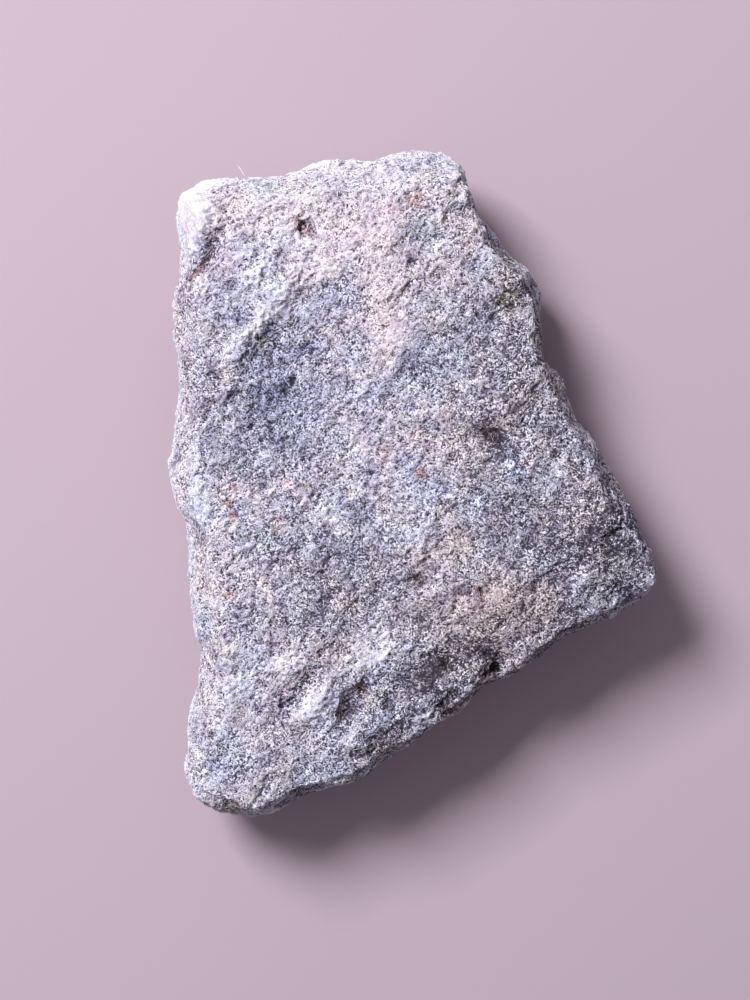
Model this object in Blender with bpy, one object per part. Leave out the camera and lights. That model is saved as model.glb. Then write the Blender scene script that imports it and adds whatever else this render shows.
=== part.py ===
"""Raw larimar: a hand-sized broken slab of granular rock, lying on its underside.

X runs across the slab, Y along it towards its pale end, and Z up from the surface it rests on.
Sizes are in millimetres until the mesh is made, and the origin is under the middle of the slab.
"""

import bmesh
import bpy
import numpy as np
from mathutils import Vector, noise

MM = 0.001

# Driving heights of the slab
FACE_HEIGHT = 17.2
CROWN_HEIGHT = 1.5
WAIST_HEIGHT = 8.0
UNDERSIDE_DIP = 1.0
UNDERSIDE_BELLY = 3.0

# The slab's outline at its waist, its widest level, clockwise from the pale corner
OUTLINE = (
    # pale end
    (-32.6, 39.1), (-31.7, 40.3), (-28.3, 41.8), (-26.3, 41.6), (-22.2, 41.6), (-18.0, 42.2),
    (-13.9, 43.5), (-9.8, 44.4), (-4.3, 44.3), (-1.6, 45.1), (3.9, 45.4), (5.4, 44.4),
    # right side, down to its notch and out to the sharp corner
    (6.7, 42.7), (8.0, 39.8), (10.3, 35.3), (12.2, 32.0), (14.8, 30.1), (16.2, 28.4),
    (16.9, 25.1), (17.6, 18.3), (18.7, 16.1), (20.2, 14.6), (20.6, 12.4), (22.1, 9.1),
    (25.0, 5.1), (27.0, 0.1), (29.1, -3.8), (31.3, -7.9), (33.2, -11.9), (33.3, -12.8),
    # long slanting edge
    (32.6, -14.3), (29.9, -15.8), (26.9, -18.0), (23.0, -19.8), (20.3, -21.3), (16.9, -23.8),
    (13.5, -26.5), (9.3, -28.0), (6.6, -30.5), (3.2, -33.1), (-0.2, -35.7), (-4.3, -37.6),
    (-8.2, -39.9), (-13.3, -42.1), (-17.8, -43.8), (-20.0, -44.9), (-23.5, -45.4),
    # rounded lower corner
    (-27.0, -45.0), (-29.7, -42.5), (-31.1, -39.9), (-31.2, -38.6),
    # left side
    (-30.4, -35.2), (-29.6, -29.7), (-29.0, -25.6), (-29.1, -21.5), (-30.2, -17.3),
    (-30.8, -12.5), (-30.8, -7.1), (-32.3, -3.8), (-33.1, 1.8), (-33.3, 8.0), (-32.4, 10.7),
    (-31.7, 12.1), (-32.3, 17.2), (-32.8, 21.0), (-33.3, 25.5), (-32.2, 27.2), (-31.9, 32.0),
    (-32.6, 36.1),
)

# The side's section from the underside up: height, and how far it lies inside the waist
SIDE_PROFILE = (
    (-UNDERSIDE_DIP, 12.0),
    (0.4, 7.0),
    (2.2, 3.4),
    (4.8, 1.1),
    (WAIST_HEIGHT, 0.0),
    (11.4, 0.3),
    (14.0, 1.0),
    (16.2, 2.0),
    (FACE_HEIGHT, 2.8),
    (FACE_HEIGHT, 6.5),
)
WAIST_WANDER = 3.0
UNDERCUT_WANDER = 0.5
WANDER_LENGTH = 19.0

# The bevel round the broad face is wider on the left and at the pale end than on the right
BEVEL_FACING = (-0.8, 0.6)
BEVEL_LEAN = 0.45

# Marks in the broad face: x, y, half length, half width, turn in degrees, depth (below zero stands up)
FACE_MARKS = (
    # broad blue hollow on the left, with the crest that bounds it and the ledge above it
    (-18.5, 12.0, 13.0, 7.5, 80.0, 1.5),
    (-19.5, 18.5, 5.0, 3.2, 20.0, 0.5),
    (-21.6, 21.0, 5.6, 1.1, 50.0, -0.7),
    (-24.6, 14.5, 4.6, 1.1, 75.0, -0.6),
    (-12.6, 25.6, 4.6, 1.0, 20.0, 0.5),
    # crease below the pale corner, and the swollen crust of the corner itself
    (-27.9, 30.0, 3.2, 1.1, 58.0, 1.3),
    (-29.6, 37.2, 3.6, 3.0, 60.0, -1.1),
    (-20.5, 41.6, 5.0, 1.4, 5.0, -0.4),
    # pits near the pale end
    (-14.6, 34.2, 1.3, 1.0, 40.0, 1.2),
    (-0.2, 29.3, 1.1, 0.9, 30.0, 0.7),
    (5.9, 40.1, 1.4, 0.9, 70.0, 0.8),
    # pink swelling down the middle, and the flat beside it that falls to the right
    (-4.5, 29.0, 12.0, 5.0, 95.0, -0.8),
    (4.0, 17.0, 7.5, 3.6, 30.0, 0.8),
    (13.1, 24.2, 2.6, 1.5, 40.0, 1.1),
    (18.0, 6.0, 8.0, 5.0, 120.0, 0.7),
    (9.6, 6.5, 2.4, 2.0, 0.0, 0.5),
    # tan swelling, its dimples, and the fall to the sharp corner
    (12.1, -14.5, 6.5, 4.2, 20.0, -1.1),
    (22.9, -11.6, 3.0, 2.2, 30.0, -0.7),
    (18.6, -12.6, 3.2, 1.0, 30.0, 0.8),
    (9.1, -14.3, 1.4, 1.0, 60.0, 0.9),
    (27.0, -7.0, 3.2, 1.4, 50.0, 0.9),
    (0.4, -12.8, 1.4, 1.1, 0.0, 0.6),
    # hollows along the long slanting edge
    (3.8, -23.7, 3.0, 2.0, 30.0, 1.2),
    (10.4, -24.6, 2.6, 1.7, 70.0, 2.2),
    (3.5, -29.4, 3.0, 1.5, 40.0, 1.2),
    (-0.8, -25.6, 2.2, 1.4, 20.0, 0.8),
    (-8.3, -29.6, 4.2, 1.7, 55.0, 1.8),
    (-6.6, -33.4, 3.6, 1.2, 42.0, -0.8),
    # smooth valley with its overhung wall, and the round swelling left of it
    (-15.0, -27.4, 4.6, 1.2, 52.0, 1.5),
    (-12.0, -28.0, 4.0, 1.6, 52.0, -0.7),
    (-14.6, -33.3, 2.0, 0.7, 30.0, 0.4),
    (-24.6, -22.0, 2.8, 2.4, 0.0, -0.8),
    (-22.0, -36.0, 6.0, 4.0, 30.0, -0.6),
)

# Flat breaks: a point on each, and the way it faces. Each fades out beyond its reach.
BREAK_REACH = 17.0
BREAKS = (
    # bevels that catch the light along the left side and the pale end
    ((-32.5, 2.0, 12.2), (-0.84, 0.0, 0.54)),
    ((-30.2, -28.0, 13.4), (-0.80, -0.05, 0.60)),
    ((-28.6, -42.6, 13.0), (-0.58, -0.60, 0.55)),
    ((-20.0, 41.4, 13.2), (-0.10, 0.80, 0.60)),
    ((-2.0, 44.0, 13.2), (0.04, 0.78, 0.62)),
    # undercut sides
    ((-29.5, 6.0, 5.2), (-0.72, 0.10, -0.69)),
    ((-29.0, -27.0, 4.2), (-0.60, -0.12, -0.79)),
    ((-27.0, -42.5, 4.8), (-0.42, -0.56, -0.71)),
    ((-3.0, -36.4, 5.0), (0.40, -0.66, -0.63)),
    ((15.5, -24.4, 5.6), (0.46, -0.60, -0.65)),
    ((30.6, -12.0, 5.6), (0.78, -0.14, -0.61)),
    ((24.5, 3.6, 4.6), (0.70, 0.30, -0.65)),
    ((15.4, 24.0, 5.4), (0.80, 0.12, -0.59)),
    ((-10.0, 42.6, 4.8), (-0.10, 0.74, -0.67)),
    ((-29.6, 33.0, 5.0), (-0.66, 0.40, -0.64)),
    # lower rim of the underside
    ((-14.0, 24.0, 0.9), (-0.16, 0.22, -0.96)),
    ((14.0, -9.0, 0.9), (0.26, -0.06, -0.96)),
)

# Unevenness of the rock: length of a swell, and its height
BROAD_SWELL = (14.0, 0.8)
LOW_SWELL = (5.2, 0.36)
UNDERSIDE_SWELL = (17.0, 2.2)
WAIST_KEEPS = 0.3

# Scalloped chips of the broken sides and underside: width of a chip, and its depth
CHIPS = ((11.0, 1.5), (5.5, 0.6))
CHIPS_MIDDLE = 0.3
FACE_CHIPS = 0.22
CHIPS_SEED = 5

SIDE_SPACING = 1.6
REMESH_SIZE = 0.9
TRIANGLES = 7400
FOOT_RISE = 0.06

LARIMAR_COLOR = (0.36, 0.35, 0.42, 1.0)
LARIMAR_ROUGHNESS = 0.88


def clear_scene():
    for obj in list(bpy.data.objects):
        bpy.data.objects.remove(obj)


def swell(point, length, seed):
    """Smooth noise between about -1 and 1, repeating over the given length."""
    return noise.noise(Vector(point) / length + Vector((seed, -seed, 0.5 * seed)))


def even_outline():
    """The outline with its points at even steps."""
    corners = np.array(OUTLINE + OUTLINE[:1])
    along = np.concatenate([[0.0], np.cumsum(np.linalg.norm(np.diff(corners, axis=0), axis=1))])
    count = round(along[-1] / SIDE_SPACING)
    steps = np.linspace(0.0, along[-1], count, endpoint=False)
    return np.column_stack([np.interp(steps, along, corners[:, axis]) for axis in (0, 1)])


def inward(points, reach):
    """Unit vectors into the outline, read across the points that lie within reach on either side."""
    chord = np.roll(points, -reach, axis=0) - np.roll(points, reach, axis=0)
    turned = np.column_stack([chord[:, 1], -chord[:, 0]])
    return turned / np.linalg.norm(turned, axis=1)[:, None]


def side_ring(outline, height, inset):
    """One level of the slab's side. The waist rises and falls, and the underside is cut back unevenly."""
    reach = 2 + round(inset)
    normals = inward(outline, reach)
    ring = []
    for (x, y), (nx, ny) in zip(outline, normals):
        rise = WAIST_WANDER * swell((x, y, 0.0), WANDER_LENGTH, 3.7)
        share = 1.0 - abs(height - WAIST_HEIGHT) / WAIST_HEIGHT
        if height < WAIST_HEIGHT:
            depth = inset * (1.0 + UNDERCUT_WANDER * swell((x, y, 0.0), WANDER_LENGTH, 9.1))
        else:
            depth = inset * (1.0 - BEVEL_LEAN * (nx * BEVEL_FACING[0] + ny * BEVEL_FACING[1]))
        ring.append((x + nx * depth, y + ny * depth, height + rise * max(share, 0.0)))
    return ring


def slab_blank():
    """The plain slab before any relief: levels of the side, joined, and closed above and below."""
    mesh = bmesh.new()
    outline = even_outline()
    levels = []
    for height, inset in SIDE_PROFILE:
        levels.append([mesh.verts.new(point) for point in side_ring(outline, height, inset)])
    count = len(outline)
    for lower, upper in zip(levels, levels[1:]):
        for i in range(count):
            j = (i + 1) % count
            mesh.faces.new((lower[i], upper[i], upper[j], lower[j]))
    mesh.faces.new(levels[0])
    mesh.faces.new(reversed(levels[-1]))
    bmesh.ops.triangulate(mesh, faces=[face for face in mesh.faces if len(face.verts) > 4])
    bmesh.ops.recalc_face_normals(mesh, faces=mesh.faces)
    return mesh


def evaluated_copy(obj):
    """A new mesh with the object's modifiers applied."""
    graph = bpy.context.evaluated_depsgraph_get()
    graph.update()
    return bpy.data.meshes.new_from_object(obj.evaluated_get(graph))


def with_modifier(obj, kind, **settings):
    """Applies one modifier to the object."""
    modifier = obj.modifiers.new(kind.title(), kind)
    for name, value in settings.items():
        setattr(modifier, name, value)
    mesh = evaluated_copy(obj)
    obj.modifiers.clear()
    obj.data = mesh


def read_points(mesh):
    points = np.empty(len(mesh.vertices) * 3)
    mesh.vertices.foreach_get("co", points)
    normals = np.empty(len(mesh.vertices) * 3)
    mesh.vertices.foreach_get("normal", normals)
    return points.reshape(-1, 3), normals.reshape(-1, 3)


def write_points(mesh, points):
    mesh.vertices.foreach_set("co", points.ravel())
    mesh.update()


def mark_depth(points, x, y, half_length, half_width, turn, depth):
    """How deep one oval mark lies under each point: deepest in its middle, fading to its rim."""
    angle = np.radians(turn)
    dx = points[:, 0] - x
    dy = points[:, 1] - y
    along = (dx * np.cos(angle) + dy * np.sin(angle)) / half_length
    across = (dy * np.cos(angle) - dx * np.sin(angle)) / half_width
    return depth * np.exp(-(along ** 2) - across ** 2)


def press_face(points):
    """Crowns the broad face and presses its hollows, pits, creases and swellings."""
    on_face = np.clip((points[:, 2] - 11.0) / 4.5, 0.0, 1.0)
    spread = (points[:, 0] / 34.0) ** 2 + (points[:, 1] / 46.0) ** 2
    lift = CROWN_HEIGHT * np.clip(1.0 - spread, 0.0, 1.0)
    for mark in FACE_MARKS:
        lift -= mark_depth(points, *mark)
    points[:, 2] += lift * on_face


def belly_underside(points):
    """Rounds the underside, so that only its middle reaches down to the surface it rests on."""
    below = np.clip((4.0 - points[:, 2]) / 4.0, 0.0, 1.0)
    spread = ((points[:, 0] + 6.0) / 27.0) ** 2 + (points[:, 1] / 38.0) ** 2
    points[:, 2] += UNDERSIDE_BELLY * np.clip(spread, 0.0, 1.0) * below


def break_flats(points):
    """Takes off what stands outside each flat break, within its reach."""
    for place, facing in BREAKS:
        normal = np.array(facing) / np.linalg.norm(facing)
        offset = points - np.array(place)
        fade = np.exp(-(np.linalg.norm(offset, axis=1) / BREAK_REACH) ** 4)
        outside = np.clip(offset @ normal, 0.0, None)
        points -= np.outer(outside * fade, normal)


def chip_depth(point, width, seed):
    """Bowls that meet in sharp ridges, as a granular rock breaks: below zero in a bowl, above on a ridge."""
    bent = Vector(point) + 0.25 * width * noise.noise_vector(Vector(point) / width)
    distances, _ = noise.voronoi(bent / width + Vector((seed, 0.0, -seed)))
    return min(distances[0], 1.0) ** 2 - CHIPS_MIDDLE


def roughen(points, normals):
    """Chips the sides and underside, and raises and lowers the rock along its normals.

    The waist moves less than the rest, so that the outline stays.
    """
    upright = np.abs(normals[:, 2])
    share = WAIST_KEEPS + (1.0 - WAIST_KEEPS) * upright
    for seed, (length, height) in enumerate((BROAD_SWELL, LOW_SWELL), start=11):
        heights = [height * swell(point, length, seed) for point in points]
        points += normals * (np.array(heights) * share)[:, None]
    length, height = UNDERSIDE_SWELL
    below = np.clip(-normals[:, 2], 0.0, 1.0)
    heights = [height * swell(point, length, 5.3) for point in points]
    points[:, 2] += np.array(heights) * below
    chipped = np.where(normals[:, 2] > 0.8, FACE_CHIPS, 1.0)
    # Vector noise starts from the clock unless it is given a seed
    noise.seed_set(CHIPS_SEED)
    for seed, (width, depth) in enumerate(CHIPS, start=21):
        heights = [depth * chip_depth(point, width, seed) for point in points]
        points += normals * (np.array(heights) * chipped)[:, None]


def level_foot(points, rise):
    """Levels what lies less than rise above the lowest height, which leaves the flat spot to rest on."""
    points[:, 2] = np.where(points[:, 2] < rise, 0.0, points[:, 2])


def to_origin(points):
    """Moves the slab so that the middle of its box is over the origin and its foot at height zero."""
    low = points.min(axis=0)
    high = points.max(axis=0)
    return points - np.array(((low[0] + high[0]) / 2, (low[1] + high[1]) / 2, low[2]))


def larimar_material():
    material = bpy.data.materials.new("larimar")
    material.use_nodes = True
    shader = material.node_tree.nodes["Principled BSDF"]
    shader.inputs["Base Color"].default_value = LARIMAR_COLOR
    shader.inputs["Roughness"].default_value = LARIMAR_ROUGHNESS
    shader.inputs["Metallic"].default_value = 0.0
    return material


def raw_larimar():
    """The whole stone: an even blank, its relief, fewer triangles, then the foot it rests on."""
    blank = slab_blank()
    mesh = bpy.data.meshes.new("raw_larimar")
    blank.to_mesh(mesh)
    blank.free()
    stone = bpy.data.objects.new("raw_larimar", mesh)
    bpy.context.scene.collection.objects.link(stone)
    with_modifier(stone, "REMESH", mode="VOXEL", voxel_size=REMESH_SIZE)

    points, normals = read_points(stone.data)
    press_face(points)
    break_flats(points)
    belly_underside(points)
    roughen(points, normals)
    level_foot(points, 0.0)
    write_points(stone.data, points)

    triangle_count = 2 * len(stone.data.polygons)
    with_modifier(stone, "DECIMATE", ratio=TRIANGLES / triangle_count)
    points, _ = read_points(stone.data)
    level_foot(points, FOOT_RISE)
    write_points(stone.data, to_origin(points) * MM)

    stone.data.materials.clear()
    stone.data.materials.append(larimar_material())
    stone.data.shade_smooth()
    stone.data.set_sharp_from_angle(angle=np.radians(50.0))
    return stone


clear_scene()
raw_larimar()
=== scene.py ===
# %% [markdown]
# # A raw larimar
# Larimar is a blue pectolite that grows in the cracks of old lava. This piece is the rough end of it: a
# broken slab, nine centimetres long, of fine-grained blue-grey rock under a felt of tiny white pectolite
# fibres. It is one stone in one piece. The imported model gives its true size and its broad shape, so the
# lesson only adds what is too fine for that model: broken grains, pits, cracks, stains and the felt.

# %% Load the stone's frame
import math

import bmesh
import bpy
import numpy as np
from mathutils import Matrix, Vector, noise
from mathutils.bvhtree import BVHTree


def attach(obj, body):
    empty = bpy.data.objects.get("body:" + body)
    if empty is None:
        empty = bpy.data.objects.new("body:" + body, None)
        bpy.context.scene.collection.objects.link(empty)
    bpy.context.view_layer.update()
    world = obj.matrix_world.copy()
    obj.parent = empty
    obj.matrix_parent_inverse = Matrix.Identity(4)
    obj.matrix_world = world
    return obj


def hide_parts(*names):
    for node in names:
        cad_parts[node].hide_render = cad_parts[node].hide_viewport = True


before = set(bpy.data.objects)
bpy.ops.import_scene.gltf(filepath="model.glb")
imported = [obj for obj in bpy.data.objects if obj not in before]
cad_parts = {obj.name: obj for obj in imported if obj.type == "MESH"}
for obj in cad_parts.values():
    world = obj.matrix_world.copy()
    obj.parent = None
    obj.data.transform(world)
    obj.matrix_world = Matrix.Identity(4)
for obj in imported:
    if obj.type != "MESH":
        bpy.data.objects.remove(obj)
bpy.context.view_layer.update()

MM = 0.001
BODY = "root"
NODE = "raw_larimar"

# %% [markdown]
# ## The view
# The stone rests on its underside with the broad face up, and the camera looks straight down on it. The
# lens follows from real sizes: the picture shows 137 mm from top to bottom at the level of the stone's
# widest outline, seen from a little over 30 cm, which is how near one goes to look at a small stone.

# %% Camera straight above the stone
PICTURE_HEIGHT = 137.0
WAIST_HEIGHT = 8.0
CAMERA_HEIGHT = 330.0
CAMERA_X = -5.0
CAMERA_Y = -2.3


def add_camera():
    data = bpy.data.cameras.new("camera")
    data.lens = data.sensor_width * (CAMERA_HEIGHT - WAIST_HEIGHT) / PICTURE_HEIGHT
    data.clip_start = 0.01
    camera = bpy.data.objects.new("camera", data)
    camera.location = (CAMERA_X * MM, CAMERA_Y * MM, CAMERA_HEIGHT * MM)
    bpy.context.scene.collection.objects.link(camera)
    bpy.context.scene.camera = camera
    print("lens in mm:", round(data.lens, 1))


add_camera()

# %% [markdown]
# ## An even skin to carve
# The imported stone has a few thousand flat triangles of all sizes. Carving needs many small faces of one
# size, so the shape is rebuilt from a grid of small cubes (a voxel remesh) and smoothed until the flat
# triangles are gone. Subdividing would keep the uneven triangles and waste faces where nothing happens.

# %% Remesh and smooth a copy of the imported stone
CARVE_GRID = 0.25
SMOOTH_ROUNDS = 5


def fresh_graph():
    graph = bpy.context.evaluated_depsgraph_get()
    graph.update()
    return graph


def applied(obj):
    """A new mesh with the object's modifiers applied."""
    return bpy.data.meshes.new_from_object(obj.evaluated_get(fresh_graph()))


def add_object(name, mesh):
    made = bpy.data.objects.new(name, mesh)
    bpy.context.scene.collection.objects.link(made)
    return made


def even_skin():
    skin = add_object("larimar_stone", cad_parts[NODE].data.copy())
    joined = bmesh.new()
    joined.from_mesh(skin.data)
    bmesh.ops.remove_doubles(joined, verts=joined.verts, dist=0.001 * MM)
    joined.to_mesh(skin.data)
    joined.free()
    remesh = skin.modifiers.new("even", "REMESH")
    remesh.mode = "VOXEL"
    remesh.voxel_size = CARVE_GRID * MM
    smooth = skin.modifiers.new("smooth", "SMOOTH")
    smooth.factor = 0.5
    smooth.iterations = SMOOTH_ROUNDS
    mesh = applied(skin)
    skin.modifiers.clear()
    skin.data = mesh
    return skin


stone = even_skin()
print("faces of the even skin:", len(stone.data.polygons))

# %% [markdown]
# ## Rough at every size
# Broken granular rock is rough at every size at once: chips of a few millimetres, grains of about one,
# and crumbs below that. Each size is a layer. A layer of grains splits space into cells (Voronoi noise)
# and gives every cell its own tilt, because a rock breaks along its grains and each breaks at another
# angle; plain smooth noise alone would look like melted wax. A few smooth layers on top stop the cells
# from looking regular. The sides of this stone are nearly as rough as its face.

# %% Noise helpers
# Vector noise starts from the clock unless it is given a seed, and the stone has to come out the same
NOISE_SEED = 5
noise.seed_set(NOISE_SEED)

# Each seed looks at another place in the noise, this many steps from the last one
SWELL_SHIFT = (7.3, -3.1, 5.7)
GRAIN_SHIFT = (2.9, 4.1, -6.3)

# Shares of a grain's size
GRAIN_BEND = 0.45
GROOVE_WIDTH = 0.22

# How often the bending of the grains changes in a grain, and how unlike the tilts of neighbours are
BEND_CHANGE = 1.9
TILT_CHANGE = 7.7


def table(items, name, width=3, kind=np.float64):
    """One row of values for each vertex, edge, corner or face of a mesh."""
    values = np.empty(len(items) * width, dtype=kind)
    items.foreach_get(name, values)
    return values.reshape(-1, width)


def swells(points, length, seed):
    """Smooth noise, about -0.5 to 0.5, over the given length in mm."""
    shift = Vector([seed * step for step in SWELL_SHIFT])
    return np.array([noise.noise(Vector(point) / length + shift) for point in points])


def broken_grains(points, size, gap, seed):
    """Grains broken at random tilts, about -0.5 to 0.5, with a groove of the given depth around each."""
    shift = Vector([seed * step for step in GRAIN_SHIFT])
    heights = np.empty(len(points))
    for i, point in enumerate(points):
        place = Vector(point) / size + shift
        place += GRAIN_BEND * noise.noise_vector(place * BEND_CHANGE)
        (nearest, second, *_), (centre, *_) = noise.voronoi(place)
        tilt = noise.noise_vector(centre * TILT_CHANGE)
        groove = 1.0 - min((second - nearest) / GROOVE_WIDTH, 1.0)
        lean = (place - centre).dot(tilt) * 2.0 + 0.5 * tilt.x
        heights[i] = lean * (1.0 - 0.5 * groove) - gap * groove
    return heights


def eased(values, low, high):
    """0 below low, 1 above high, and a smooth step between them."""
    share = np.clip((values - low) / (high - low), 0.0, 1.0)
    return share * share * (3.0 - 2.0 * share)


# %% Layers of relief
GRAIN_LAYERS = (
    # size of a grain and its relief in mm, depth of the gap around it
    (4.2, 0.36, 0.0),
    (2.1, 0.22, 0.06),
    (1.0, 0.22, 0.18),
    (0.55, 0.20, 0.30),
)
SWELL_LAYERS = (
    # length and height in mm
    (7.0, 0.50),
    (3.0, 0.28),
    (1.5, 0.14),
    (0.55, 0.16),
)
FIRST_GRAIN_SEED = 1
FIRST_SWELL_SEED = 11
SIDE_SHARE = 0.9
BEDDING_TURN = 52.0
BEDDING_STRETCH = 1.5


def along_bedding(points):
    """The points in a frame in which patterns that are round come out longer along the bedding."""
    turn = math.radians(BEDDING_TURN)
    along = points[:, 0] * math.cos(turn) + points[:, 1] * math.sin(turn)
    across = points[:, 1] * math.cos(turn) - points[:, 0] * math.sin(turn)
    return np.column_stack([along / BEDDING_STRETCH, across, points[:, 2]])


def rough_relief(points, normals):
    """How far each point stands out, in mm."""
    relief = np.zeros(len(points))
    places = along_bedding(points)
    for seed, (size, depth, gap) in enumerate(GRAIN_LAYERS, start=FIRST_GRAIN_SEED):
        relief += depth * broken_grains(places, size, gap, seed)
    for seed, (length, height) in enumerate(SWELL_LAYERS, start=FIRST_SWELL_SEED):
        relief += height * swells(places, length, seed)
    return relief * (SIDE_SHARE + (1.0 - SIDE_SHARE) * np.abs(normals[:, 2]))


points = table(stone.data.vertices, "co") / MM
normals = table(stone.data.vertices, "normal")
relief = rough_relief(points, normals)
print("relief in mm from", round(relief.min(), 2), "to", round(relief.max(), 2))

# %% [markdown]
# ## Marks with a place of their own
# The noise makes the kind of surface, but this stone is known by its marks: the dark pit near the top
# edge, the ledge across the blue hollow, the smooth slope near the bottom. Each is an oval or a path
# with a real place and size in millimetres, seen from above. Noise moves every point a little before it
# is compared with a mark, so that a plain oval gets a broken edge; small marks are moved less, because
# they would otherwise end up somewhere else.

# %% Shapes for marks and stains
DRIFTS = (
    # length and reach of the noise in mm, seed
    (2.6, 1.6, 21),
    (0.9, 0.9, 31),
    (0.4, 0.5, 51),
)


def drifting(points):
    """How far each layer of noise moves each point in x and y, in mm."""
    return [
        reach * np.column_stack([swells(points, length, seed), swells(points, length, seed + 1)])
        for length, reach, seed in DRIFTS
    ]


def moved(points, drift, size):
    """The points' x and y, moved by each layer of noise, but by less where a mark is smaller than it."""
    places = points[:, :2].copy()
    for (length, _, _), layer in zip(DRIFTS, drift):
        places += layer * min(1.0, size / length)
    return places


def oval(points, drift, x, y, half_length, half_width, turn):
    """0 in the middle of an oval, 1 on its rim, and more outside it."""
    angle = math.radians(turn)
    places = moved(points, drift, min(half_length, half_width)) - (x, y)
    along = (places[:, 0] * math.cos(angle) + places[:, 1] * math.sin(angle)) / half_length
    across = (places[:, 1] * math.cos(angle) - places[:, 0] * math.sin(angle)) / half_width
    return np.sqrt(along ** 2 + across ** 2)


CRACK_SIZE = 0.9


def beside(points, drift, path):
    """The distance in mm to a path of x, y points: below zero on its right, above zero on its left."""
    places = moved(points, drift, CRACK_SIZE)
    nearest = np.full(len(places), np.inf)
    for start, end in zip(np.array(path[:-1]), np.array(path[1:])):
        run = end - start
        to = places - start
        share = np.clip(to @ run / (run @ run), 0.0, 1.0)
        gap = np.linalg.norm(to - share[:, None] * run, axis=1)
        side = np.where(run[0] * to[:, 1] - run[1] * to[:, 0] < 0.0, -1.0, 1.0)
        nearest = np.where(gap < np.abs(nearest), side * gap, nearest)
    return nearest


# %% Pits, swellings and hollows
PITS = (
    # x, y, half length, half width, turn, depth
    (-14.5, 34.5, 0.55, 0.40, 40.0, 0.7),
    (-14.9, 33.7, 0.40, 0.30, 60.0, 0.6),
    (-14.8, 32.8, 0.30, 0.50, 10.0, 0.5),
    (-21.0, 32.5, 0.50, 0.35, 10.0, 0.6),
    (-22.9, 37.7, 0.60, 0.35, 15.0, 0.5),
    (-17.8, 30.6, 0.35, 0.50, 30.0, 0.4),
    (-19.8, 30.2, 0.40, 0.50, 0.0, 0.4),
    (-0.1, 29.3, 0.50, 0.55, 60.0, 0.7),
    (5.9, 40.1, 0.50, 0.30, 20.0, 0.8),
    (-7.0, 29.6, 0.60, 0.30, 20.0, 0.5),
    (-7.2, 20.1, 0.40, 0.60, 30.0, 0.5),
    (12.9, 23.6, 0.60, 0.40, 40.0, 0.7),
    (11.0, 23.4, 0.50, 0.30, 0.0, 0.6),
    (16.4, 15.6, 0.70, 0.40, 40.0, 0.8),
    (-1.8, 2.7, 0.40, 0.80, 20.0, 0.6),
    (-4.4, 7.3, 0.70, 0.50, 60.0, 0.5),
    (0.4, -12.8, 0.80, 0.50, 20.0, 0.6),
    (9.1, -14.7, 0.35, 0.80, 10.0, 0.8),
    (16.0, -14.4, 0.35, 0.60, 20.0, 0.5),
    (-6.9, -27.7, 0.45, 0.30, 30.0, 0.6),
    (4.3, -24.2, 0.70, 0.60, 60.0, 1.1),
    (10.7, -25.0, 0.90, 0.70, 20.0, 1.2),
    (-24.6, -43.3, 1.40, 0.60, 10.0, 0.8),
    (-24.2, -2.7, 0.50, 0.40, 30.0, 0.5),
    (-26.2, 20.1, 0.35, 0.60, 40.0, 0.5),
    (-20.1, 18.6, 0.40, 0.80, 20.0, 0.7),
    (-16.0, 13.7, 0.35, 0.70, 20.0, 0.9),
    (-17.4, 16.1, 0.50, 0.40, 30.0, 0.6),
    (-17.3, 12.6, 0.80, 0.40, 40.0, 0.6),
    (-24.2, 11.8, 0.50, 0.40, 20.0, 0.7),
    (-21.3, 11.7, 0.40, 0.40, 20.0, 0.6),
    (8.6, 22.3, 0.35, 0.60, 20.0, 0.7),
    (11.6, 24.0, 0.60, 0.40, 40.0, 0.6),
    (15.3, 20.5, 0.30, 0.50, 0.0, 0.6),
    (16.6, 18.1, 0.35, 0.50, 10.0, 0.6),
    (19.4, 12.5, 0.40, 0.60, 10.0, 0.6),
    (1.6, -23.3, 0.60, 0.40, 40.0, 0.7),
    (3.9, -28.9, 0.40, 0.60, 20.0, 0.8),
    (4.9, -30.4, 1.00, 0.50, 40.0, 0.8),
    (-3.5, -28.8, 0.40, 0.60, 10.0, 0.7),
    (-2.9, -19.0, 0.25, 0.60, 20.0, 0.5),
    (-30.3, 20.8, 0.40, 1.00, 0.0, 0.5),
    (-30.1, 15.4, 0.40, 1.40, 0.0, 0.5),
)
SWELLINGS = (
    # x, y, half length, half width, turn, height
    (-24.9, -22.0, 1.9, 1.7, 0.0, 0.30),
    (-16.9, -24.6, 1.6, 1.2, 30.0, 0.45),
    (23.2, -12.0, 2.4, 1.6, 30.0, 0.40),
    (-12.6, -28.2, 3.4, 1.5, 52.0, 0.25),
    (-7.9, -33.2, 2.6, 0.7, 50.0, 0.35),
    (1.4, -31.2, 1.2, 0.7, 30.0, 0.40),
    (-26.2, 34.4, 2.2, 1.6, -50.0, 0.70),
    (-8.4, 43.2, 1.0, 0.5, 10.0, 0.70),
    (14.0, 24.0, 0.6, 0.5, 0.0, 0.40),
    (-18.0, 16.5, 4.0, 2.6, 60.0, -0.35),
    (-9.2, -30.1, 2.2, 1.2, 50.0, -0.20),
    (-1.0, -26.1, 2.0, 1.4, 20.0, -0.40),
    (1.5, -23.3, 1.6, 1.0, 20.0, -0.40),
    (10.4, 6.1, 1.4, 1.1, 0.0, -0.30),
    (27.1, -9.5, 2.0, 1.6, 30.0, -0.40),
)

# How far up a surface looks (1 is straight up) where the broad face begins, and where the underside ends
FACE_STARTS = (0.25, 0.6)
FOOT_ENDS = (-0.4, 0.0)

# The wall of a pit, as shares of its oval, and the share of its listed depth that is carved
PIT_WALL = (0.45, 1.35)
PIT_SHARE = 0.65

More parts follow.
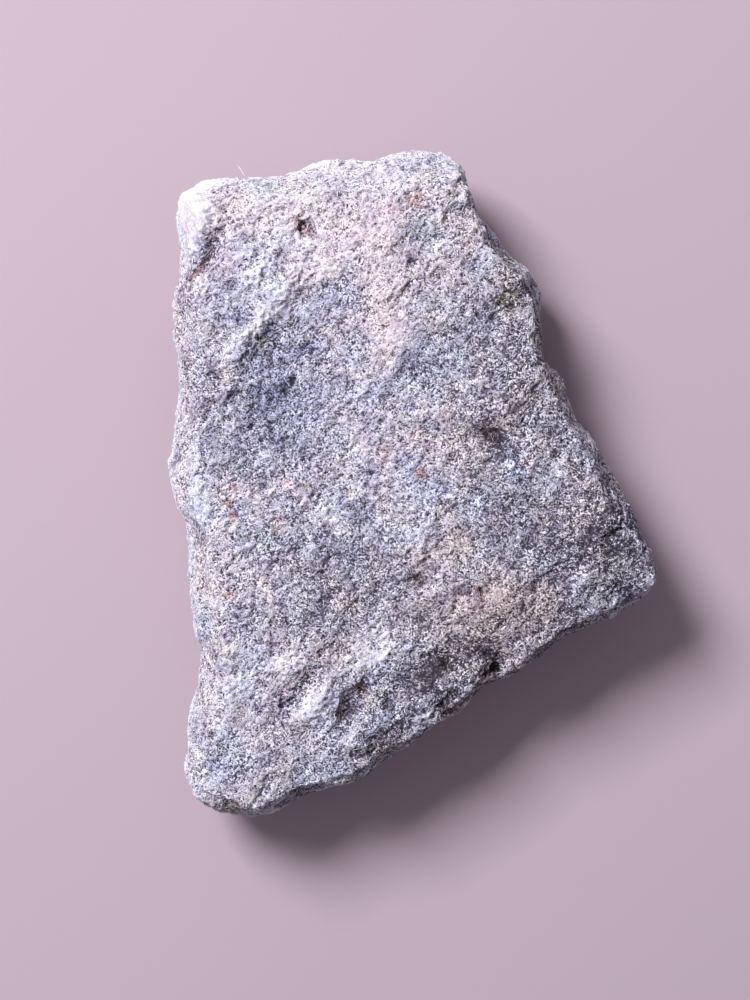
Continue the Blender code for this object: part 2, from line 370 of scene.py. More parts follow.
on_face = eased(normals[:, 2], *FACE_STARTS)
off_foot = eased(normals[:, 2], *FOOT_ENDS)
drift = drifting(points)
for *spot, depth in PITS:
    relief -= PIT_SHARE * depth * (1.0 - eased(oval(points, drift, *spot), *PIT_WALL)) * on_face
for *spot, height in SWELLINGS:
    relief += height * np.exp(-oval(points, drift, *spot) ** 2) * off_foot
print("pits and swellings:", len(PITS) + len(SWELLINGS))

# %% Creases, cracks and ledges
CREASES = (
    # depth, width, path
    (0.30, 0.60, ((-26.4, 31.6), (-27.7, 30.0), (-28.8, 28.2), (-29.8, 26.2))),
    (0.50, 0.35, ((-25.2, 7.9), (-24.7, 8.6), (-23.9, 8.8), (-23.1, 8.4))),
    (0.40, 0.30, ((-21.9, 7.5), (-19.5, 7.6), (-17.8, 8.0), (-15.3, 8.0), (-14.5, 7.3))),
    (0.50, 0.50, ((-22.8, 1.9), (-23.7, 0.5), (-24.9, -0.8))),
    (0.45, 0.30, ((-18.7, -4.2), (-18.5, -6.1), (-17.9, -7.3))),
    (0.35, 0.25, ((-11.2, 8.9), (-8.6, 6.1))),
    (0.40, 0.35, ((-12.8, 3.4), (-10.2, 1.1), (-8.0, 0.3))),
    (0.50, 0.45, ((27.8, -4.4), (27.4, -6.2), (25.4, -7.7))),
    (0.40, 0.40, ((20.9, -10.2), (18.8, -11.3), (16.4, -13.6))),
    (0.35, 0.25, ((-13.9, -25.6), (-14.3, -26.8), (-15.2, -28.0), (-17.2, -29.9))),
    (0.25, 0.25, ((-15.9, -34.2), (-15.5, -33.2), (-14.4, -32.7), (-13.2, -32.5))),
    (0.35, 0.30, ((-21.4, -39.2), (-20.9, -40.2))),
    (0.40, 0.45, ((-16.7, 17.7), (-15.0, 18.2), (-13.7, 19.0))),
    (0.40, 0.35, ((5.6, -24.9), (6.6, -26.6), (6.2, -28.4))),
)
LEDGES = (
    # height of the left side of the path, how far the step reaches, path
    (
        0.08, 2.2,
        ((-9.2, 26.5), (-12.5, 25.3), (-18.0, 23.4), (-20.8, 20.8), (-24.4, 16.6), (-25.6, 12.4)),
    ),
    (0.25, 1.6, ((-17.4, -30.0), (-15.2, -28.0), (-14.2, -26.6), (-13.8, -25.2))),
    (0.45, 1.2, ((-23.0, 8.3), (-23.9, 8.7), (-24.8, 8.4))),
    (0.40, 1.6, ((2.4, -30.6), (5.6, -27.4), (8.6, -25.9), (10.9, -23.2))),
    (-0.40, 1.6, ((-9.0, -35.2), (-7.9, -33.2), (-6.0, -31.2), (-3.4, -30.4))),
)
LEDGE_WALL = 0.2

for depth, width, path in CREASES:
    relief -= depth * (1.0 - eased(np.abs(beside(points, drift, path)), 0.0, width)) * on_face
for height, reach, path in LEDGES:
    away = beside(points, drift, path)
    relief += height * eased(away, -LEDGE_WALL, LEDGE_WALL) * np.exp(-(away / reach) ** 2) * on_face
print("creases and ledges:", len(CREASES) + len(LEDGES))

# %% [markdown]
# ## Carving
# Some places are smoother than the rest: the white crust at the top left corner and the pale slope near
# the bottom most of all, and the tan patch, the pink band and the top edge a little. The relief is turned
# down there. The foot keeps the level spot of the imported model, so that the stone still rests on it.

# %% Calm the smoother places and move the skin
CRUST = (-29.5, 36.6, 3.5, 4.8, 0.0)
CALM_PLACES = (
    # x, y, half length, half width, turn, how much of the relief is lost
    (*CRUST, 0.70),
    (-12.9, -28.2, 4.2, 1.8, 52.0, 0.70),
    (12.7, -15.9, 4.5, 3.0, 10.0, 0.25),
    (-5.5, 33.0, 9.0, 6.0, 0.0, 0.25),
    (-4.0, 22.0, 4.0, 9.0, 0.0, 0.25),
    (-12.0, 42.0, 14.0, 1.8, 6.0, 0.35),
    (-1.4, 18.4, 4.5, 2.4, 55.0, 0.45),
)
CALM_RIM = (0.5, 1.2)
FOOT_HEIGHT = 0.25


def carve(mesh, relief):
    middle = relief.mean()
    for *spot, lost in CALM_PLACES:
        relief += (middle - relief) * lost * (1.0 - eased(oval(points, drift, *spot), *CALM_RIM))
    relief[points[:, 2] < FOOT_HEIGHT] = 0.0
    carved = points + normals * relief[:, None]
    carved[:, 2] = np.maximum(carved[:, 2], 0.0)
    mesh.vertices.foreach_set("co", (carved * MM).ravel())
    mesh.update()


carve(stone.data, relief)

# %% [markdown]
# ## Fewer triangles where nobody looks
# The carved skin has more triangles than one piece may have. Joining edges thins it, and a weight keeps
# most triangles on the broad face, fewer on the sides and the fewest on the underside.

# %% Thin the mesh
TRIANGLES = 196_000
LOWEST_SHARE = 0.4
WEIGHT_STEPS = 10

# How far up a surface looks (1 is straight up) where it starts to keep more, and where it keeps most
MORE_FROM = (-0.5, 0.5)


def thinned(skin):
    group = skin.vertex_groups.new(name="keep")
    seen = LOWEST_SHARE + (1.0 - LOWEST_SHARE) * eased(normals[:, 2], *MORE_FROM)
    for step in range(WEIGHT_STEPS + 1):
        picked = np.flatnonzero(np.round(seen * WEIGHT_STEPS) == step)
        if len(picked):
            group.add(picked.tolist(), step / WEIGHT_STEPS, "REPLACE")
    thin = skin.modifiers.new("thin", "DECIMATE")
    thin.ratio = TRIANGLES / sum(len(face.vertices) - 2 for face in skin.data.polygons)
    thin.vertex_group = group.name
    thin.vertex_group_factor = 1.0
    thin.invert_vertex_group = True
    thin.use_collapse_triangulate = True
    mesh = applied(skin)
    skin.modifiers.clear()
    skin.vertex_groups.clear()
    return mesh


stone.data = thinned(stone)
stone.data.shade_smooth()
print("triangles of the carved stone:", len(stone.data.polygons))

# %% [markdown]
# ## Crests and hollows
# Crests are rubbed and felted, so they are paler, and the darker hollows are painted shade. To know which is
# which, the carved surface is compared with a smoothed copy of itself: what stands above the copy is a
# crest.

# %% How far each point stands out of its surroundings
FINE_ROUNDS = 4
BROAD_ROUNDS = 40


def standing_out(points, normals, edges, rounds):
    """How far each point stands above the smoothed surface round it, in mm along its normal."""
    smooth = points.copy()
    count = np.bincount(edges.ravel(), minlength=len(points))[:, None]
    for _ in range(rounds):
        total = np.zeros_like(smooth)
        for column in range(3):
            total[:, column] = np.bincount(edges[:, 0], smooth[edges[:, 1], column], len(points))
            total[:, column] += np.bincount(edges[:, 1], smooth[edges[:, 0], column], len(points))
        smooth = 0.5 * smooth + 0.5 * total / count
    return ((points - smooth) * normals).sum(1)


points = table(stone.data.vertices, "co") / MM
normals = table(stone.data.vertices, "normal")
drift = drifting(points)
edges = table(stone.data.edges, "vertices", 2, np.int32)
fine_crest = standing_out(points, normals, edges, FINE_ROUNDS)
broad_crest = standing_out(points, normals, edges, BROAD_ROUNDS)
print("crests stand out by mm:", round(fine_crest.std(), 3), round(broad_crest.std(), 3))

# %% [markdown]
# ## Colours
# Larimar owes its blue to a little copper, and this rough end has only a breath of it: a blue-grey
# hollow at the left, lavender elsewhere, a pinkish band under the top edge, a tan patch at the lower
# right, and spots of rust, moss green and brown where water got in. Colour is given as a tint that the
# rock's own greys are multiplied by, and beside it goes a number that makes the place paler or darker.
# Patches of painted shade, tinted brown, darken the steep sides at the lower right,
# which look away from the light.

# %% Tints and stains
TINTS = {
    "plain": "#f2f1f7",
    "pink": "#fdeee9",
    "rose": "#f6d2cc",
    "tan": "#f0dfd8",
    "blue": "#d3d9ef",
    "indigo": "#b0b6d8",
    "teal": "#d3e6e4",
    "rust": "#d09a88",
    "brown": "#ad9390",
    "maroon": "#b08a94",
    "olive": "#d8d5bd",
    "cream": "#fbf5e6",
    "white": "#ffffff",
    "crust": "#e2e0df",
}
STAINS = (
    # tint, x, y, half length, half width, turn, strength, paler or darker
    # pinkish band and clouds
    ("pink", -7.0, 34.3, 9.0, 5.5, 0.0, 0.8, 0.16),
    ("pink", -3.7, 24.4, 4.2, 8.0, 0.0, 0.8, 0.12),
    ("pink", -3.6, 17.7, 2.6, 4.0, 0.0, 0.7, 0.12),
    ("pink", -19.5, 36.8, 6.5, 3.6, 10.0, 0.6, 0.20),
    ("pink", -13.0, 28.8, 3.6, 2.6, 20.0, 0.6, 0.18),
    ("pink", 5.6, 28.8, 3.6, 3.0, 30.0, 0.6, 0.06),
    ("pink", 5.0, 35.0, 2.4, 1.6, 30.0, 0.6, 0.06),
    ("pink", -25.4, 35.5, 2.6, 2.0, 0.0, 0.5, 0.08),
    ("pink", -25.0, -13.0, 5.0, 3.6, 60.0, 0.45, 0.03),
    # blue hollow, and blue clouds
    ("blue", -17.2, 13.0, 7.0, 12.0, 10.0, 0.8, -0.12),
    ("blue", -24.6, 3.7, 3.6, 2.6, 20.0, 0.6, -0.04),
    ("blue", -23.0, 25.0, 3.6, 5.0, 20.0, 0.4, 0.0),
    ("blue", 2.5, 15.5, 7.5, 3.0, 20.0, 0.6, -0.05),
    ("blue", 8.5, 21.5, 3.0, 3.0, 0.0, 0.6, -0.12),
    ("blue", -10.6, 25.0, 3.4, 2.4, 30.0, 0.5, -0.10),
    ("blue", -0.4, 33.0, 2.2, 1.4, 0.0, 0.5, -0.06),
    ("blue", -7.0, 17.5, 2.4, 2.6, 0.0, 0.5, -0.12),
    ("blue", -28.5, 12.0, 2.4, 4.0, 0.0, 0.5, 0.0),
    ("blue", -4.5, 7.5, 4.5, 2.4, 0.0, 0.55, 0.0),
    ("blue", -7.0, -19.0, 3.0, 2.6, 0.0, 0.5, 0.0),
    ("blue", -17.5, -30.3, 3.0, 2.6, 0.0, 0.5, 0.0),
    ("blue", -1.0, -26.1, 2.4, 1.6, 20.0, 0.7, -0.10),
    ("blue", 19.6, -10.3, 5.0, 3.4, 20.0, 0.4, -0.06),
    ("blue", -9.5, -10.2, 5.0, 4.4, 0.0, 0.5, -0.06),
    ("blue", -15.5, -3.5, 3.0, 2.4, 0.0, 0.4, -0.05),
    ("blue", -22.0, -16.0, 3.0, 2.5, 0.0, 0.4, -0.04),
    # wide darker and paler places in the rock's own tint, with two dark spots; the wide darkening at the
    # right
    #     # and lower right is partly greyer rock and partly painted shade where the light falls off
    ("plain", 21.0, -6.0, 14.0, 13.0, 20.0, 0.0, -0.30),
    ("plain", 12.0, 12.0, 9.0, 18.0, 10.0, 0.0, -0.18),
    ("plain", 28.0, -9.0, 6.0, 4.5, 60.0, 0.0, -0.52),
    ("plain", 13.4, 27.0, 2.2, 5.0, 20.0, 0.0, -0.40),
    ("plain", 18.0, -9.0, 10.0, 2.8, 0.0, 0.0, -0.12),
    ("plain", 8.0, -24.0, 18.0, 5.0, 25.0, 0.0, -0.30),
    ("plain", -6.5, -14.0, 9.0, 8.0, 0.0, 0.0, -0.21),
    ("plain", -12.0, -34.0, 13.0, 9.0, 30.0, 0.0, -0.15),
    ("plain", 6.0, -23.6, 6.0, 3.4, 25.0, 0.0, -0.40),
    ("olive", -3.5, -28.8, 0.8, 1.2, 0.0, 0.6, -0.35),
    ("maroon", 4.6, -30.0, 1.8, 1.0, 40.0, 0.6, -0.40),
    ("plain", -30.0, 20.0, 1.4, 7.0, 0.0, 0.0, -0.12),
    ("plain", -19.0, 30.0, 7.5, 5.5, 20.0, 0.0, 0.14),
    ("plain", -13.5, -18.2, 5.0, 3.4, -15.0, 0.0, -0.20),
    ("plain", -22.6, 1.7, 2.8, 2.6, 0.0, 0.0, -0.28),
    ("plain", -17.5, 6.5, 3.0, 2.4, 0.0, 0.0, -0.14),
    ("plain", 9.3, 4.5, 3.2, 5.5, 0.0, 0.0, -0.14),
    ("plain", 16.5, 0.5, 5.0, 4.0, 30.0, 0.0, 0.20),
    ("plain", -7.0, 12.3, 2.6, 2.6, 0.0, 0.0, 0.12),
    ("plain", 3.6, 25.7, 2.6, 6.0, 0.0, 0.0, 0.10),
    ("plain", -23.0, -28.0, 3.0, 5.0, 0.0, 0.0, 0.18),
    ("plain", -24.0, 21.0, 3.0, 8.0, 0.0, 0.0, 0.06),
    ("plain", -17.7, 23.6, 2.8, 2.2, 20.0, 0.0, 0.28),
    ("plain", 1.5, 19.5, 4.0, 3.0, 0.0, 0.0, 0.14),
    ("plain", 25.0, -11.8, 3.0, 3.0, 0.0, 0.0, 0.12),
    ("plain", -12.4, -30.6, 3.4, 2.6, 30.0, 0.0, 0.30),
    ("plain", -5.5, -21.5, 3.5, 2.6, 0.0, 0.0, 0.10),
    ("plain", -7.0, 5.0, 2.6, 2.6, 0.0, 0.0, 0.12),
    ("plain", -28.3, -2.0, 2.4, 4.5, 0.0, 0.0, 0.18),
    ("plain", -3.5, -34.0, 6.0, 2.4, 28.0, 0.0, -0.36),
    ("plain", 4.0, -29.5, 3.5, 2.0, 30.0, 0.0, -0.20),
    ("plain", -17.5, -9.0, 2.6, 2.4, 0.0, 0.0, -0.18),
    ("plain", 19.5, 8.0, 2.4, 5.0, 28.0, 0.0, -0.18),
    ("plain", 15.5, 17.5, 3.0, 5.0, 15.0, 0.0, -0.16),
    ("plain", 25.0, -4.5, 2.6, 4.5, 30.0, 0.0, -0.16),
    ("plain", -28.0, 12.5, 2.6, 5.0, 0.0, 0.0, -0.20),
    # the deepest blue, most of it in the hollow
    ("indigo", -14.6, 17.9, 2.4, 1.2, 30.0, 0.9, -0.24),
    ("indigo", -16.0, 13.7, 0.8, 1.2, 20.0, 0.8, -0.30),
    ("indigo", -17.3, 12.6, 1.6, 0.8, 40.0, 0.9, -0.26),
    ("indigo", -24.2, 11.8, 0.9, 0.8, 0.0, 0.8, -0.16),
    ("indigo", -21.3, 11.7, 0.8, 0.8, 0.0, 0.8, -0.12),
    ("olive", -20.1, 18.6, 0.8, 1.2, 20.0, 0.6, -0.24),
    ("indigo", -19.0, 11.0, 2.8, 2.2, 20.0, 0.8, -0.18),
    ("indigo", -18.6, 19.6, 1.2, 2.0, 10.0, 0.6, -0.14),
    ("indigo", -24.9, 26.5, 1.0, 1.4, 0.0, 0.7, -0.12),
    ("indigo", -22.9, 22.2, 1.2, 1.6, 0.0, 0.6, -0.12),
    ("indigo", -26.9, 6.7, 0.9, 0.8, 0.0, 0.7, -0.15),
    ("indigo", -0.8, 10.0, 1.4, 1.2, 0.0, 0.6, -0.12),
    ("indigo", -0.5, 16.5, 2.4, 1.2, 30.0, 0.6, -0.14),
    ("indigo", -7.2, -4.0, 2.2, 1.8, 0.0, 0.6, -0.18),
    # tan patch
    ("tan", 12.4, -15.6, 7.0, 4.0, 12.0, 0.9, 0.02),
    ("tan", 12.0, -20.4, 9.0, 3.4, 25.0, 0.7, 0.04),
    ("tan", 2.5, -10.0, 7.0, 3.4, 10.0, 0.5, 0.08),
    ("tan", 5.0, -17.0, 6.0, 3.6, 20.0, 0.5, -0.06),
    ("tan", 15.3, 2.8, 1.2, 0.8, 0.0, 0.7, 0.0),
    # small rose, rust and cream spots
    ("rose", 0.3, 37.3, 1.0, 1.2, 0.0, 0.7, 0.0),
    ("rose", -2.8, 36.3, 1.2, 1.0, 0.0, 0.5, 0.0),
    ("rose", -3.8, 3.8, 1.6, 1.5, 0.0, 0.6, 0.08),
    ("rose", 0.4, 6.7, 1.1, 1.0, 0.0, 0.4, 0.0),
    ("rose", -25.5, 28.5, 4.0, 2.6, 0.0, 0.35, 0.0),
    ("rose", 4.2, 8.8, 1.4, 0.9, 0.0, 0.5, 0.05),
    ("rose", -16.5, -0.1, 0.8, 0.6, 0.0, 0.8, 0.05),
    ("rose", -23.5, -1.2, 1.0, 0.8, 0.0, 0.6, 0.05),
    ("rose", -24.2, -14.8, 1.4, 0.5, 10.0, 0.6, 0.0),
    ("rose", -12.6, -22.7, 1.2, 0.9, 0.0, 0.6, 0.0),
    ("rose", -16.9, -27.4, 0.8, 0.7, 0.0, 0.6, 0.05),
    ("rose", -17.8, -5.7, 1.2, 1.4, 0.0, 0.5, -0.04),
    ("rust", 1.1, 1.3, 0.8, 0.6, 20.0, 0.8, 0.10),
    ("rust", -24.2, -2.7, 0.7, 0.6, 0.0, 0.9, -0.15),
    ("rust", -23.9, -4.3, 0.6, 0.8, 0.0, 0.8, 0.0),
    ("rust", 9.1, -14.7, 0.7, 1.1, 10.0, 0.9, -0.15),
    ("rust", -6.9, -27.7, 1.0, 0.8, 0.0, 0.8, -0.18),
    ("cream", -23.9, -5.4, 0.8, 0.6, 0.0, 0.8, 0.18),
    ("cream", -8.1, -1.5, 0.6, 0.6, 0.0, 0.9, 0.15),
    ("cream", -24.9, -22.0, 2.0, 1.6, 0.0, 0.6, 0.06),
    ("cream", -5.8, -29.3, 1.2, 1.0, 40.0, 0.8, 0.12),
    # greenish spots
    ("teal", -19.5, 39.5, 2.4, 1.8, 0.0, 0.7, -0.03),
    ("teal", 2.0, 33.5, 2.2, 2.0, 0.0, 0.6, -0.08),
    ("teal", 6.4, 16.8, 1.3, 1.1, 0.0, 0.7, -0.02),
    ("teal", -22.2, -7.1, 0.8, 0.6, 40.0, 0.9, -0.05),
    ("teal", -19.5, -7.5, 1.0, 1.4, 0.0, 0.6, -0.12),
    ("teal", -3.7, -28.4, 1.2, 1.0, 0.0, 0.6, -0.15),
    ("olive", 12.2, 24.8, 1.8, 1.0, 40.0, 0.7, -0.18),
    ("olive", -14.2, -0.4, 0.9, 0.6, 0.0, 0.8, -0.10),
    ("olive", 2.3, 40.9, 0.9, 0.6, 0.0, 0.6, -0.12),
    # reddish and brown dirt in pits and creases, with painted shade in the deepest hollows near the lower
    # edge
    ("maroon", -14.6, 34.0, 1.2, 1.5, 70.0, 0.8, -0.14),
    ("maroon", -28.1, 29.2, 0.7, 2.7, -33.0, 0.9, -0.32),
    ("maroon", -21.0, 32.5, 0.7, 0.5, 0.0, 0.8, -0.20),
    ("brown", -17.8, 30.6, 0.9, 0.9, 0.0, 0.6, -0.15),
    ("brown", 0.4, -12.8, 1.4, 0.9, 10.0, 0.8, -0.16),
    ("brown", 10.4, -12.7, 1.1, 0.6, 10.0, 0.6, -0.12),
    ("brown", -24.0, -43.5, 2.6, 0.9, 10.0, 0.9, -0.30),
    ("brown", 10.4, 6.1, 1.6, 1.2, 20.0, 0.6, -0.20),
    ("brown", 12.9, 23.6, 0.7, 0.5, 40.0, 0.7, -0.22),
    # painted shade with brown dirt: the two deep hollows near the lower edge
    ("brown", 4.3, -24.2, 1.5, 1.1, 60.0, 0.7, -0.40),
    ("maroon", 10.7, -25.0, 1.4, 1.2, 20.0, 0.8, -0.45),
    ("brown", -9.2, -30.2, 2.0, 1.2, 50.0, 0.5, -0.10),
    # white crust, white crests and white flecks
    ("crust", -29.6, 36.4, 3.0, 4.6, 0.0, 1.0, 0.44),
    ("crust", -28.4, 39.8, 3.4, 1.6, 8.0, 1.0, 0.30),
    ("crust", -30.2, 31.4, 1.4, 2.6, 0.0, 0.8, 0.34),
    # the top edge band is paler rock and partly a painted highlight where the edge faces the light
    ("white", -12.0, 42.6, 14.0, 1.6, 6.0, 0.8, 0.14),
    ("white", -1.5, 40.0, 3.0, 2.0, 0.0, 0.5, 0.10),
    ("white", -20.8, 26.4, 2.6, 2.2, 30.0, 0.6, 0.16),
    ("white", -21.5, 20.6, 5.2, 1.1, 46.0, 0.8, 0.22),
    ("white", -31.2, 6.0, 1.6, 9.0, 0.0, 0.6, 0.0),
    ("white", -30.6, -18.0, 1.6, 14.0, 0.0, 0.6, 0.0),
    ("white", -29.6, -37.0, 1.6, 7.0, 0.0, 0.6, 0.0),
    ("white", -11.6, -4.9, 1.8, 1.4, 0.0, 0.6, 0.14),
    ("white", -9.8, -6.0, 1.8, 1.6, 0.0, 0.6, 0.08),
    ("white", 14.9, 5.4, 1.3, 0.5, 55.0, 1.0, 0.40),
    ("white", 12.6, 2.2, 1.0, 0.45, 40.0, 1.0, 0.36),
    ("white", 19.3, 1.9, 1.4, 1.1, 40.0, 0.8, 0.32),
    ("white", 17.9, -0.8, 1.3, 0.6, 40.0, 0.9, 0.36),
    ("white", -5.0, -22.4, 3.8, 2.3, 20.0, 0.7, 0.24),
    ("white", 1.4, -31.2, 2.2, 0.7, 36.0, 0.7, 0.30),
    ("white", 1.9, -28.9, 0.9, 1.4, 0.0, 0.6, 0.20),
    ("white", 6.5, -25.0, 0.9, 1.2, 0.0, 0.6, 0.16),
    ("white", -0.4, -24.1, 0.6, 1.0, 0.0, 0.6, 0.18),
    ("white", -3.8, -19.4, 1.8, 3.0, 0.0, 0.6, 0.10),
    ("white", -7.9, -33.2, 2.8, 0.7, 50.0, 0.8, 0.26),
    ("white", -12.6, -28.2, 4.0, 1.7, 52.0, 0.4, 0.06),
    ("white", -16.9, -24.8, 2.6, 1.8, 20.0, 0.6, 0.24),
    ("white", 23.2, -12.0, 2.0, 1.4, 30.0, 0.5, 0.14),
)


def linear(hex_colour):
    """An sRGB hex colour as the linear colour that shaders use."""
    parts = [int(hex_colour[i:i + 2], 16) / 255 for i in (1, 3, 5)]
    return tuple(c / 12.92 if c <= 0.04045 else ((c + 0.055) / 1.055) ** 2.4 for c in parts) + (1.0,)


# Where a stain's rim starts and ends, as shares of its oval. It is softer on a larger stain, and softest
# where the half length and the half width are at least this many mm.
ROOMY = 3.0
SHARP_RIM = (0.55, 1.3)
SOFTER = (-0.35, 0.2)

# How far up a surface looks where stains begin, and where they are whole
STAINS_START = (-0.3, 0.2)

# Slow drifts of the tint between warm and cool
WARMTHS = (
    # length in mm, strength, seed
    (1.2, 0.04, 61),
    (3.4, 0.10, 63),
    (8.0, 0.10, 65),
)

# Which way the sides with painted shade look (away from the light), and how far a surface has to look that
# way to get it
AWAY_FROM_LIGHT = (0.8, -0.6, 0.0)
PAINTED_SHADE_STARTS = (0.15, 0.75)
PAINTED_SHADE_TINT = 0.4
PAINTED_SHADE_DARK = 0.60
PAINTED_SHADE_PATCH = 1.4
PAINTED_SHADE_SEED = 71
PAINTED_SHADE_RIM = (-0.3, 0.1)
DARKEST = -0.75


def stained(points, normals, drift):
    """The tint and the paleness of each point."""
    tint = np.ones((len(points), 3)) * linear(TINTS["plain"])[:3]
    for length, strength, seed in WARMTHS:
        tint *= 1.0 + swells(points, length, seed)[:, None] * strength * np.array((1.0, 0.0, -1.0))
    paleness = np.zeros(len(points))
    upper = eased(normals[:, 2], *STAINS_START)
    for name, *spot, strength, paler in STAINS:
        softness = min(1.0, spot[2] / ROOMY, spot[3] / ROOMY)
        rim = [edge + softer * softness for edge, softer in zip(SHARP_RIM, SOFTER)]
        share = (1.0 - eased(oval(points, drift, *spot), *rim)) * upper
        tint += (np.array(linear(TINTS[name])[:3]) - tint) * (strength * share)[:, None]
        paleness += paler * share
    # Painted shade: steep sides that look away from the light are darkened in patches and tinted brown
    painted_shade = eased(normals @ AWAY_FROM_LIGHT, *PAINTED_SHADE_STARTS) * (1.0 - eased(normals[:, 2], *FACE_STARTS))
    painted_shade *= eased(swells(points, PAINTED_SHADE_PATCH, PAINTED_SHADE_SEED), *PAINTED_SHADE_RIM)
    tint += (np.array(linear(TINTS["maroon"])[:3]) - tint) * (PAINTED_SHADE_TINT * painted_shade)[:, None]
    return tint, np.maximum(paleness - PAINTED_SHADE_DARK * painted_shade, DARKEST)


tint, paleness = stained(points, normals, drift)
print("stains:", len(STAINS), "paleness from", round(paleness.min(), 2), "to", round(paleness.max(), 2))

# %% Store the colours on the stone
FINE_CREST = 0.06
BROAD_CREST = 0.25
CREST_LIMIT = 1.5
CREST_WEAR_AND_HOLLOW_SHADE = 0.13


def store(mesh, name, kind, values):
    layer = mesh.attributes.new(name, kind, "POINT")
    if kind == "FLOAT_COLOR":
        values = np.column_stack([values, np.ones(len(values))])
        layer.data.foreach_set("color", values.astype(np.float32).ravel())
    else:
        layer.data.foreach_set("value", values.astype(np.float32))


# Crests are painted paler for their rubbed felt, and hollows are painted darker as painted shade
crest = np.clip(fine_crest / FINE_CREST, -CREST_LIMIT, CREST_LIMIT)
crest += np.clip(broad_crest / BROAD_CREST, -CREST_LIMIT, CREST_LIMIT)
store(stone.data, "tint", "FLOAT_COLOR", tint)
store(stone.data, "paleness", "FLOAT", paleness + CREST_WEAR_AND_HOLLOW_SHADE * crest)

# %% [markdown]
# ## The rock
# The rock is a mesh of pectolite, calcite and altered basalt, broken and never polished, so it scatters
# light evenly and has no shine: roughness 0.85, with pectolite's index of refraction, 1.6. Its greys
# come from patterns with real sizes: grains of a third of a millimetre, dark and pale specks of a fifth,
# crystals of about half a millimetre that each have their own grey, and clumps of about three
# millimetres. Pale threads run where a noise crosses its middle value. They stand for needles of a few
# hundredths of a millimetre, too fine for the picture, so they are drawn a tenth of a millimetre wide.
# All but the clumps are strong in some patches and faint in others, and faint on pale places: an even
# speckle all over would look like felt cloth, not like rock.

# %% Node helpers
def add_node(tree, kind, links=(), **settings):
    """Adds a node: settings by name, inputs by index or name in links, as values or as sockets."""
    node = tree.nodes.new(kind)
    for name, value in settings.items():
        setattr(node, name, value)
    for key, value in dict(links).items():
        if isinstance(value, bpy.types.NodeSocket):
            tree.links.new(value, node.inputs[key])
        else:
            node.inputs[key].default_value = value
    return node


def sums(tree, start, *parts):
    """The start plus the sum of (socket, factor) pairs."""
    total = start
    for socket, factor in parts:
        total = add_node(
            tree, "ShaderNodeMath", {0: socket, 1: factor, 2: total}, operation="MULTIPLY_ADD"
        ).outputs[0]
    return total


def new_material(name, roughness):
    material = bpy.data.materials.new(name)
    material.use_nodes = True
    shader = material.node_tree.nodes["Principled BSDF"]
    shader.inputs["Roughness"].default_value = roughness
    return material, material.node_tree, shader


# %% Fine patterns of the rock
GRAIN = 0.33
CRYSTAL = 0.55
SPECK = 0.22
THREAD_LOOP = 0.9
THREAD_SHARE = 0.055
THREAD_CORE = 0.2
FINE_MEAN = 0.68


def fine_patterns(tree, mm, paleness):
    """Grain, crystals, specks and threads as one value, about 0 in the middle."""
    grain = add_node(
        tree, "ShaderNodeTexNoise",
        {"Vector": mm, "Scale": 1 / GRAIN, "Detail": 2.0, "Roughness": 0.65, "Distortion": 0.6},
    ).outputs["Fac"]
    specks = add_node(
        tree, "ShaderNodeTexNoise", {"Vector": mm, "Scale": 1 / SPECK, "Detail": 1.0, "Distortion": 0.8}
    ).outputs["Fac"]
    dark_specks = add_node(
        tree, "ShaderNodeMapRange", {"Value": specks, "From Min": 0.45, "From Max": 0.37}
    ).outputs[0]
    light_specks = add_node(
        tree, "ShaderNodeMapRange", {"Value": specks, "From Min": 0.56, "From Max": 0.64}
    ).outputs[0]
    loops = add_node(
        tree, "ShaderNodeTexNoise",
        {"Vector": mm, "Scale": 1 / THREAD_LOOP, "Detail": 2.0, "Roughness": 0.6, "Distortion": 1.0},
    ).outputs["Fac"]
    off_level = add_node(tree, "ShaderNodeMath", {0: loops, 1: 0.5}, operation="SUBTRACT").outputs[0]
    off_level = add_node(tree, "ShaderNodeMath", {0: off_level}, operation="ABSOLUTE").outputs[0]
    threads = add_node(
        tree, "ShaderNodeMapRange",
        {"Value": off_level, "From Min": THREAD_SHARE, "From Max": THREAD_CORE * THREAD_SHARE},
    ).outputs[0]
    crystals = add_node(tree, "ShaderNodeTexVoronoi", {"Vector": mm, "Scale": 1 / CRYSTAL}).outputs["Color"]
    crystal_tone = add_node(tree, "ShaderNodeSeparateColor", {0: crystals}).outputs[0]
    darker = add_node(
        tree, "ShaderNodeMapRange",
        {"Value": paleness, "From Min": 0.3, "From Max": -0.3, "To Min": 0.15, "To Max": 0.7},
    ).outputs[0]
    dark_specks = add_node(
        tree, "ShaderNodeMath", {0: dark_specks, 1: darker}, operation="MULTIPLY"
    ).outputs[0]
    return sums(
        tree, -FINE_MEAN,
        (grain, 1.25), (crystal_tone, 0.25), (dark_specks, -2.1), (light_specks, 0.36), (threads, 0.55),
    )


# %% Rock material
GREYS = (
    # place in the range, grey
    (0.0, "#1e1724"),
    (0.2, "#473e51"),
    (0.4, "#7a7186"),
    (0.6, "#aba4b6"),
    (0.8, "#d0cbda"),
    (1.0, "#f4f1f7"),
)
DARK_END = -0.33
LIGHT_END = 1.0
MIDDLE_GREY = 0.87
CLUMP = 2.8
PATCH = 3.0
BUMP_HEIGHT = 0.09
PECTOLITE_IOR = 1.6


